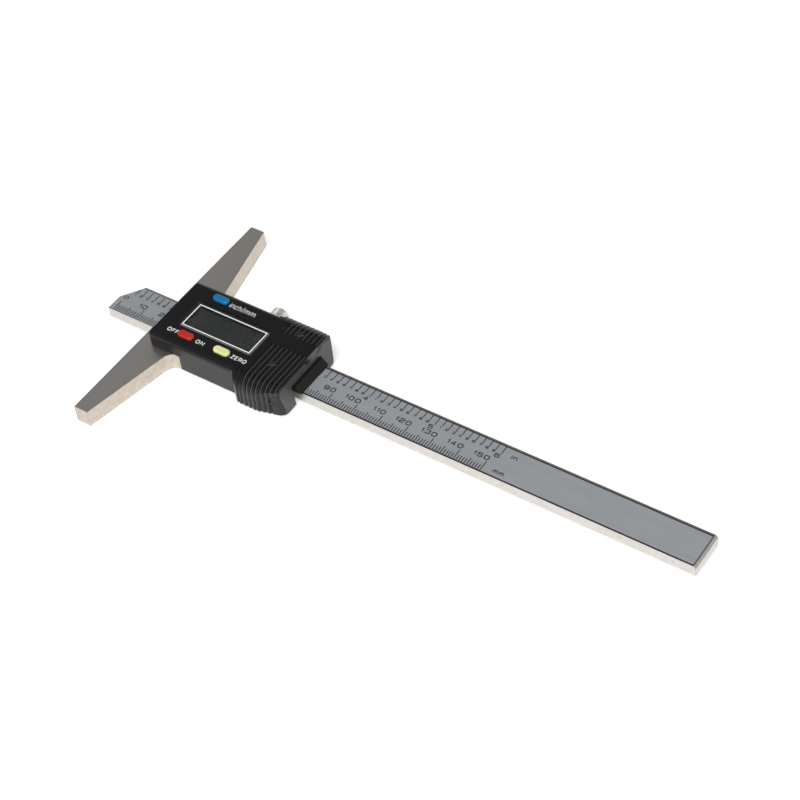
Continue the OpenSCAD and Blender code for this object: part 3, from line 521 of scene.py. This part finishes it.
def strip(shape, path, closed, width, z):
    """One stroke of that width along a path, as patches that share their mitred corners."""
    n = len(path)
    left, right = [], []
    for i in range(n):
        here = Vector(path[i])
        before = Vector(path[i - 1]) if i or closed else None
        after = Vector(path[(i + 1) % n]) if i < n - 1 or closed else None
        d1 = (here - before).normalized() if before else (after - here).normalized()
        d2 = (after - here).normalized() if after else d1
        n1, n2 = Vector((-d1.y, d1.x)), Vector((-d2.y, d2.x))
        mitre = (n1 + n2).normalized()
        out = mitre * width / 2 / max(mitre.dot(n1), SHARPEST)
        left.append(tuple(here + out))
        right.append(tuple(here - out))
    for i in range(n if closed else n - 1):
        j = (i + 1) % n
        lay(shape, [right[i], right[j], left[j], left[i]], z)


def units(text):
    """How wide a word is, counted in widths of a plain sign."""
    return sum(WIDTHS.get(sign, 1) for sign in text) + GAP * (len(text) - 1)


def word(shape, text, x0, x1, y, height, stroke, z):
    """Adds a word from x0 to x1 that stands on y."""
    unit = (x1 - x0) / units(text)
    x = x0
    for sign in text:
        wide = unit * WIDTHS.get(sign, 1)
        for course in SIGNS[sign]:
            closed = course.startswith("o ")
            pairs = [p.split(",") for p in course[2 if closed else 0:].split()]
            path = [(x + stroke / 2 + float(u) * max(wide - stroke, 0),
                     y + stroke / 2 + float(v) * (height - stroke)) for u, v in pairs]
            strip(shape, path, closed, stroke, z)
        x += wide + GAP * unit


print("the word 150 is", round(units("150"), 2), "plain signs wide")

# %% [markdown]
# Each ten of the millimetres stands over its line, with its right end on it. The inch tenths are
# tiny digits under their lines, and whole inches are larger. A tenth's 1 ends before its line,
# because on it the upright stroke would look like a part of the line.

# %% Numerals of the scale
# Each kind of numeral: its foot y, then a plain sign's width, height and stroke, all in mm.
TENS = (-1.85, 2.0, 1.95, 0.38)
INCHES = (0.6, 1.95, 1.8, 0.36)
TENTHS = (2.3, 1.15, 1.05, 0.25)
NOUGHT = (-0.8, 2.05, 1.4, 0.28)
NOUGHT_X = -16.65 * MM
PAST, INCH_PAST = 0.2 * MM, 0.15 * MM  # how far a number ends behind its line
ONE_SHORT = 0.15 * MM  # how far a tenth's 1 ends before its line
UNITS = {  # from x to x, foot y, height and stroke, in mm
    "in": (137.9, 140.1, 2.4, 1.9, 0.32),
    "mm": (135.7, 139.8, -5.35, 1.9, 0.32),
}


def number(text, x1, kind):
    """Adds a number whose print ends at x1."""
    y, unit, height, stroke = (v * MM for v in kind)
    word(numerals, text, x1 - unit * units(text), x1, y, height, stroke, rod_hi.z)


numerals = ([], [])
for ten in range(1, 16):
    number(str(ten * 10), ZERO_X + ten * 10 * MM + PAST, TENS)
for i in range(1, 61):
    x = ZERO_X + i * INCH / 10
    if i % 10 == 0:
        number(str(i // 10), x + INCH_PAST, INCHES)
    else:
        number(str(i % 10), x - ONE_SHORT if i % 10 == 1 else x + PAST, TENTHS)
number("0", NOUGHT_X, NOUGHT)
for text, place in UNITS.items():
    word(numerals, text, *(v * MM for v in place), rod_hi.z)
scale_numerals = piece("scale_numerals", numerals, black_ink, "measuring_rod")
print("patches in the numerals:", patches(scale_numerals))

# %% [markdown]
# Where the foil meets the steel rims, a thin dark line runs along both long sides of the rod and
# across its tail. The foil's own material could darken there, but its edge would blur; so it is
# drawn as three thin strips of black ink, from the measuring face on.

# %% Dark border lines
FAR_LINE, NEAR_LINE = (6.05 * MM, 6.55 * MM), (-7.12 * MM, -6.5 * MM)  # from y to y
TAIL_LINE = (foil_end - 0.12 * MM, foil_end + 0.05 * MM)  # from x to x
border = ([], [])
for rect in ((0.0, foil_end, *FAR_LINE), (0.0, foil_end, *NEAR_LINE),
             (*TAIL_LINE, NEAR_LINE[1], FAR_LINE[0])):
    lay(border, corners(*rect), rod_hi.z)
border_lines = piece("border_lines", border, black_ink, "measuring_rod")
print("border lines:", patches(border_lines))

# %% [markdown]
# The housing carries plain legends beside the keys, printed in white. They only say what the keys
# do: the unit, off and on, and zero. The strokes that write the scale write them too, so a table of
# words and places is all that is needed.

# %% Legends of the keys
LEGENDS = {  # from x to x, foot y, height and stroke, in mm
    "inch/mm": (21.6, 32.3, 8.75, 2.3, 0.25),
    "OFF": (9.5, 13.9, -10.4, 1.7, 0.3),
    "ON": (21.7, 25.1, -10.6, 1.7, 0.3),
    "ZERO": (36.5, 42.7, -10.5, 1.7, 0.3),
}
legends = ([], [])
for text, place in LEGENDS.items():
    word(legends, text, *(v * MM for v in place), housing_top)
key_legends = piece("key_legends", legends, white_ink, "slider")
print("legends:", len(LEGENDS), "patches:", patches(key_legends))

# %% [markdown]
# The window is printed black on its face outside the view, so that the display's frame below stays
# out of sight, and a white line borders the view. A plate with a hole would need a cutting
# modifier; four bars that are mitred at the corners make the same closed band at once.

# %% Print on the window
VIEW = (12.25 * MM, 41.0 * MM, -5.65 * MM, 5.2 * MM)  # from x to x, from y to y
WHITE_BAND = 0.45 * MM
CLEAR_RIM = 0.32 * MM  # left unprinted along the window's edge


def inset(rect, by):
    """A rectangle drawn in on all sides."""
    x0, x1, y0, y1 = rect
    return (x0 + by, x1 - by, y0 + by, y1 - by)


def band(outer, inner, z):
    """Four bars of ink between two rectangles."""
    shape, far, near = ([], []), corners(*outer), corners(*inner)
    for i in range(4):
        j = (i + 1) % 4
        lay(shape, [far[i], far[j], near[j], near[i]], z)
    return shape


view_frame = piece("view_frame", band(VIEW, inset(VIEW, WHITE_BAND), window_hi.z), white_ink,
                   "slider")
window_mask = piece("window_mask", band(inset(window_rect, CLEAR_RIM), VIEW, window_hi.z),
                    black_ink, "slider")
print("white frame:", [round(v / MM, 1) for v in view_frame.dimensions])

# %% [markdown]
# The cut edge of the window is polished too, and where it meets its recess it catches the light as
# a hair-thin grey line. The renderer would need very many rays to find that glint in the gap, so it
# is drawn as a narrow band just inside the window's edge, on the two sides that show it.

# %% Bright edge of the window
edge_grey = flat_ink("polished_edge_glint", "#8d8f8d", "#7a7c7a")
HAIR = 0.24 * MM  # width of the line
FROM_EDGE = 0.04 * MM  # between the window's edge and the line
CORNER = 1 * MM  # the line ends this far before the corners that it doesn't turn round
x0, x1, y0, y1 = inset(window_rect, FROM_EDGE)
glint = ([], [])
lay(glint, [(x0 + CORNER, y0), (x1, y0), (x1 - HAIR, y0 + HAIR), (x0 + CORNER, y0 + HAIR)],
    window_hi.z)
lay(glint, [(x1, y0), (x1, y1 - CORNER), (x1 - HAIR, y1 - CORNER), (x1 - HAIR, y0 + HAIR)],
    window_hi.z)
window_edge = piece("window_edge", glint, edge_grey, "slider")
print("window:", [round(v / MM, 1) for v in window_hi - window_lo])

# %% [markdown]
# A switched-off display still shows its segments faintly. Each digit is seven bars, upright or
# level, that lean to the right as the digits of most displays do. Bars stop short of each other,
# as the real electrodes have to. Five digits could be modelled by hand; a table of seven bars and a
# loop draw them all alike.

# %% Faint segments of the display
SEGMENTS = {  # column, row, and whether the bar is upright
    "top": (0, 2, False), "middle": (0, 1, False), "bottom": (0, 0, False),
    "upper_left": (0, 1, True), "upper_right": (1, 1, True),
    "lower_left": (0, 0, True), "lower_right": (1, 0, True)}
DIGITS, FIRST_X, SPACING, FOOT_Y = 5, 19.3 * MM, 3.65 * MM, -2.7 * MM
DIGIT_W, BAR_H, BAR, LEAN = 2.3 * MM, 2.9 * MM, 0.5 * MM, 0.08  # a digit is two bars high
FREE = 0.25 * MM  # between a bar's end and the corner of the digit
segments = ([], [])
for digit in range(DIGITS):
    left = FIRST_X + SPACING * digit
    for column, row, upright in SEGMENTS.values():
        x, y = left + column * DIGIT_W, FOOT_Y + row * BAR_H
        if upright:
            box = corners(x - BAR / 2, x + BAR / 2, y + FREE, y + BAR_H - FREE)
        else:
            box = corners(x + FREE, x + DIGIT_W - FREE, y - BAR / 2, y + BAR / 2)
        lay(segments, [(px + LEAN * (py - FOOT_Y), py) for px, py in box], glass_top)
lcd_segments = piece("lcd_segments", segments, segment_ink, "slider")
print("segments:", patches(lcd_segments))

# %% [markdown]
# Raised marks on the covers show which way they slide: a flat arrow head each, moulded with the
# cover. A bump in the material could fake them; real relief also catches light from low angles. A
# mould needs draft to let go, so the mark's sides lean: its top outline is smaller.

# %% Arrow marks of the covers
LEANING = 0.1 * MM  # height of the leaning part of a mark's sides


def raised(name, outline, shrink, z0, z1, finish, body):
    """A low mark: its upper outline is the lower one drawn in to its middle by shrink."""
    n = len(outline)
    cx, cy = sum(x for x, y in outline) / n, sum(y for x, y in outline) / n
    points = [(x, y, z0) for x, y in outline] + [(x, y, z1 - LEANING) for x, y in outline]
    points += [(cx + (x - cx) * shrink, cy + (y - cy) * shrink, z1) for x, y in outline]
    faces = [list(reversed(range(n))), [2 * n + i for i in range(n)]]
    for level in (0, n):
        for i in range(n):
            j = (i + 1) % n
            faces.append([level + i, level + j, level + n + j, level + n + i])
    return piece(name, (points, faces), finish, body)


def arrow_head(x0, x1, y0, y1):
    """A triangle that points to the tail, with its measures in mm."""
    return [(x0 * MM, y0 * MM), (x1 * MM, (y0 + y1) / 2 * MM), (x0 * MM, y1 * MM)]


MARK_TOP = 0.85  # size of a mark's top, as a share of its foot
mark_z = (housing_top - 0.3 * MM, housing_top + 0.1 * MM)  # its foot reaches into the grooves
battery_arrow = raised("battery_arrow", arrow_head(49.2, 52.5, -7.3, -4.4), MARK_TOP, *mark_z,
                       arrow_abs, "battery_door")
port_arrow = raised("port_arrow", arrow_head(50.3, 52.8, 8.6, 11.4), MARK_TOP, *mark_z,
                    arrow_abs, "port_door")
print("arrow marks:", battery_arrow.name, port_arrow.name)

# %% [markdown]
# Two tiny raised dots beside the display are left by the pins that push the housing out of its
# mould. They are low round marks of the same make as the arrow heads.

# %% Marks of the ejector pins
PINS, PIN_R = ((41.9, 7.4), (44.2, 9.5)), 0.42  # places and radius in mm
PIN_SIDES, PIN_TOP = 16, 0.7  # the top's size is a share of the foot's
for i, (x, y) in enumerate(PINS):
    turns = [a * 2 * math.pi / PIN_SIDES for a in range(PIN_SIDES)]
    disc = [((x + PIN_R * math.cos(t)) * MM, (y + PIN_R * math.sin(t)) * MM) for t in turns]
    raised(f"ejector_mark_{i + 1}", disc, PIN_TOP, housing_top - 0.05 * MM,
           housing_top + 0.06 * MM, housing_abs, "slider")
print("ejector marks:", len(PINS))

# %% [markdown]
# The lock screw's knob is diamond knurled: two rollers press crossing helical grooves into the
# turned blank and leave rows of small pyramids. The solid has straight flutes; here a fine grid of
# points is wrapped round the knob and pushed in along both families of helices. First comes the
# outline that turning gives, from the screw's inner end out to the knob's dished face.

# %% Turned outline of the lock screw
screw_lo, screw_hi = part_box("lock_screw")
axis_x, axis_z = (screw_lo.x + screw_hi.x) / 2, (screw_lo.z + screw_hi.z) / 2
knob_r = (screw_hi.z - screw_lo.z) / 2
SHANK_R, NECK_R, NECK_LENGTH = 1.5 * MM, 1.98 * MM, 0.6 * MM
KNOB_LENGTH, COLLAR, CHAMFER = 5.9 * MM, 0.35 * MM, 0.4 * MM  # collars at both ends stay plain
DISH_RIM, DISH_FLOOR = 0.55, 0.45  # radii of the dished face, as shares of the knob's
DISH_DEPTH = 0.25 * MM
ROWS = 70  # rows of points along the knurl
knob_y1 = screw_hi.y
knob_y0 = knob_y1 - KNOB_LENGTH
neck_y = knob_y0 - NECK_LENGTH
profile = [  # y, radius, share of the knurl
    (screw_lo.y, SHANK_R, 0), (neck_y, SHANK_R, 0), (neck_y, NECK_R, 0),
    (knob_y0 - 0.02 * MM, NECK_R, 0), (knob_y0, knob_r - CHAMFER, 0)]
profile += [(knob_y0 + COLLAR + (KNOB_LENGTH - 2 * COLLAR) * i / ROWS, knob_r, 1)
            for i in range(ROWS + 1)]
profile += [(knob_y1, knob_r - CHAMFER, 0), (knob_y1, knob_r * DISH_RIM, 0),
            (knob_y1 - DISH_DEPTH, knob_r * DISH_FLOOR, 0)]
print("rings of the outline:", len(profile), "knob radius", round(knob_r / MM, 2), "mm")

# %% [markdown]
# Each ring of the outline gets the same number of points. Two numbers say where a point lies, one
# round the knob and one along it, both counted in teeth. Their sum and their difference run along
# the two families of helices, and the nearer groove decides how deep the point is pushed in.

# %% Knurled lock screw
TEETH, ROUND = 26, 260  # teeth round the knob, and points in each ring
KNURL_DEPTH = 0.24 * MM
pitch = 2 * math.pi * knob_r / TEETH
points, faces = [(axis_x, screw_lo.y, axis_z)], []
for y, r, knurled in profile:
    for a in range(ROUND):
        turn = 2 * math.pi * a / ROUND
        u, v = TEETH * a / ROUND, (y - knob_y0) / pitch
        dig = max(abs((u + v) % 1 - 0.5), abs((u - v) % 1 - 0.5)) * 2
        out = r - knurled * KNURL_DEPTH * dig
        points.append((axis_x + out * math.cos(turn), y, axis_z + out * math.sin(turn)))
points.append((axis_x, profile[-1][0], axis_z))
last = 1 + (len(profile) - 1) * ROUND
for a in range(ROUND):
    b = (a + 1) % ROUND
    faces.append([0, 1 + a, 1 + b])
    for s in range(1, last, ROUND):
        faces.append([s + a, s + ROUND + a, s + ROUND + b, s + b])
    faces.append([len(points) - 1, last + b, last + a])
knob = piece("knurled_lock_screw", (points, faces), knurl_nickel, "lock_knob")
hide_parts("lock_screw")
print("knurl pyramids about", round(pitch / MM, 2), "mm wide")

# %% [markdown]
# The camera stands where the photographer stood. Its place comes from the perspective of the
# scale's lines, whose real distances are known, and its lens from how fast they close up. It could
# be aimed by eye; working back from known lengths also fixes how far away it stood.

# %% Camera
AZIMUTH, ELEVATION, ROLL = (math.radians(d) for d in (38.572, 46.911, -6.745))
LOOKED_AT = Vector((93.05, 6.30, 6.20)) * MM
DISTANCE = 694.48  # in mm
FOCAL, PICTURE = 2116.157, 800  # focal length and picture width in pixels
SENSOR = 36
back = Vector((math.sin(AZIMUTH) * math.cos(ELEVATION), -math.cos(AZIMUTH) * math.cos(ELEVATION),
               math.sin(ELEVATION)))
side = Vector((0, 0, 1)).cross(back).normalized()
above = back.cross(side)
right = math.cos(ROLL) * side + math.sin(ROLL) * above
up = -math.sin(ROLL) * side + math.cos(ROLL) * above
lens_data = bpy.data.cameras.new("camera")
lens_data.sensor_width = SENSOR
lens_data.lens = SENSOR * FOCAL / PICTURE
lens_data.clip_start, lens_data.clip_end = 0.01, 20
camera = bpy.data.objects.new("camera", lens_data)
camera.matrix_world = Matrix.Translation(LOOKED_AT + back * DISTANCE * MM) @ Matrix(
    (right, up, back)).transposed().to_4x4()
bpy.context.scene.collection.objects.link(camera)
bpy.context.scene.camera = camera
print("lens", round(lens_data.lens, 1), "mm, camera at", [round(v, 3) for v in camera.location])

# %% [markdown]
# The floor is a plain white table. Seen by the camera, and by metal and glass that mirror it, it
# gets a little light of its own, so that it closes to white as in the photograph; the lamps
# themselves stay at a plain level, and the object's shadow still falls on it. Stronger lamps would
# whiten the table too, but they would bleach the gauge.

# %% Floor
REACH = 4.0
GLOW = 0.42  # what the lamps leave short of white
floor_mesh = bpy.data.meshes.new("floor")
floor_mesh.from_pydata([(x, y, 0) for x, y in corners(-REACH, REACH, -REACH, REACH)], [],
                       [(0, 1, 2, 3)])
floor = bpy.data.objects.new("floor", floor_mesh)
floor.location.z = -0.02 * MM  # a hair below the gauge, so that no two faces share a plane
bpy.context.scene.collection.objects.link(floor)
paper, tree, shader = new_finish("white_paper", {
    "Base Color": colour("#efefef"), "Roughness": 0.9, "Specular IOR Level": 0.0,
    "Emission Color": colour("#ffffff")})
path = add(tree, "ShaderNodeLightPath")
seen = path.outputs["Is Camera Ray"]
for ray in ("Is Glossy Ray", "Is Transmission Ray"):
    seen = add(tree, "ShaderNodeMath", links={0: seen, 1: path.outputs[ray]},
               operation="MAXIMUM").outputs[0]
glow = add(tree, "ShaderNodeMath", {1: GLOW}, {0: seen}, operation="MULTIPLY")
tree.links.new(glow.outputs[0], shader.inputs["Emission Strength"])
floor_mesh.materials.append(paper)
print("floor", 2 * REACH, "m wide")

# %% [markdown]
# A tent of soft light: the sky round the table is a mid grey that the flat tops mirror, brighter
# near the horizon where the side walls look. A picture of a studio could stand there; a ramp of two
# greys is enough. They are strengths of light, not colours of a surface, so they stay numbers.

# %% Sky
SKY = {0.05: (0.95, 0.95, 0.95, 1), 0.5: (0.22, 0.22, 0.223, 1)}  # sine of the height: light
world = bpy.data.worlds.new("studio")
bpy.context.scene.world = world
world.use_nodes = True
tree = world.node_tree
coord = add(tree, "ShaderNodeTexCoord")
split = add(tree, "ShaderNodeSeparateXYZ", links={"Vector": coord.outputs["Generated"]})
ramp = add(tree, "ShaderNodeValToRGB", links={"Fac": split.outputs["Z"]})
for stop, (height, light) in zip(ramp.color_ramp.elements, SKY.items()):
    stop.position, stop.color = height, light
tree.links.new(ramp.outputs["Color"], tree.nodes["Background"].inputs["Color"])
print("sky between", SKY[0.5][0], "and", SKY[0.05][0])

# %% [markdown]
# A large box of soft light hangs over the table, to the photographer's side. It gives the main
# light, the soft shadow and the bands on round edges. One box is enough, because the sky fills the
# shadows.

# %% Lamp
AIM = Vector((0.08, 0, 0))  # between the housing and the middle of the rod


def lamp(name, place, size, power):
    """A rectangular area lamp that looks at the gauge. Metres and watts."""
    data = bpy.data.lights.new(name, "AREA")
    data.shape = "RECTANGLE"
    data.size, data.size_y = size
    data.energy = power
    obj = bpy.data.objects.new(name, data)
    obj.location = place
    obj.rotation_euler = (AIM - Vector(place)).to_track_quat("-Z", "Y").to_euler()
    bpy.context.scene.collection.objects.link(obj)
    return obj


overhead = lamp("overhead_box", (0.25, -0.45, 0.85), (0.8, 0.6), 8.0)
bpy.context.scene.view_settings.view_transform = "Standard"
print("lamp", overhead.name, overhead.data.energy, "W")
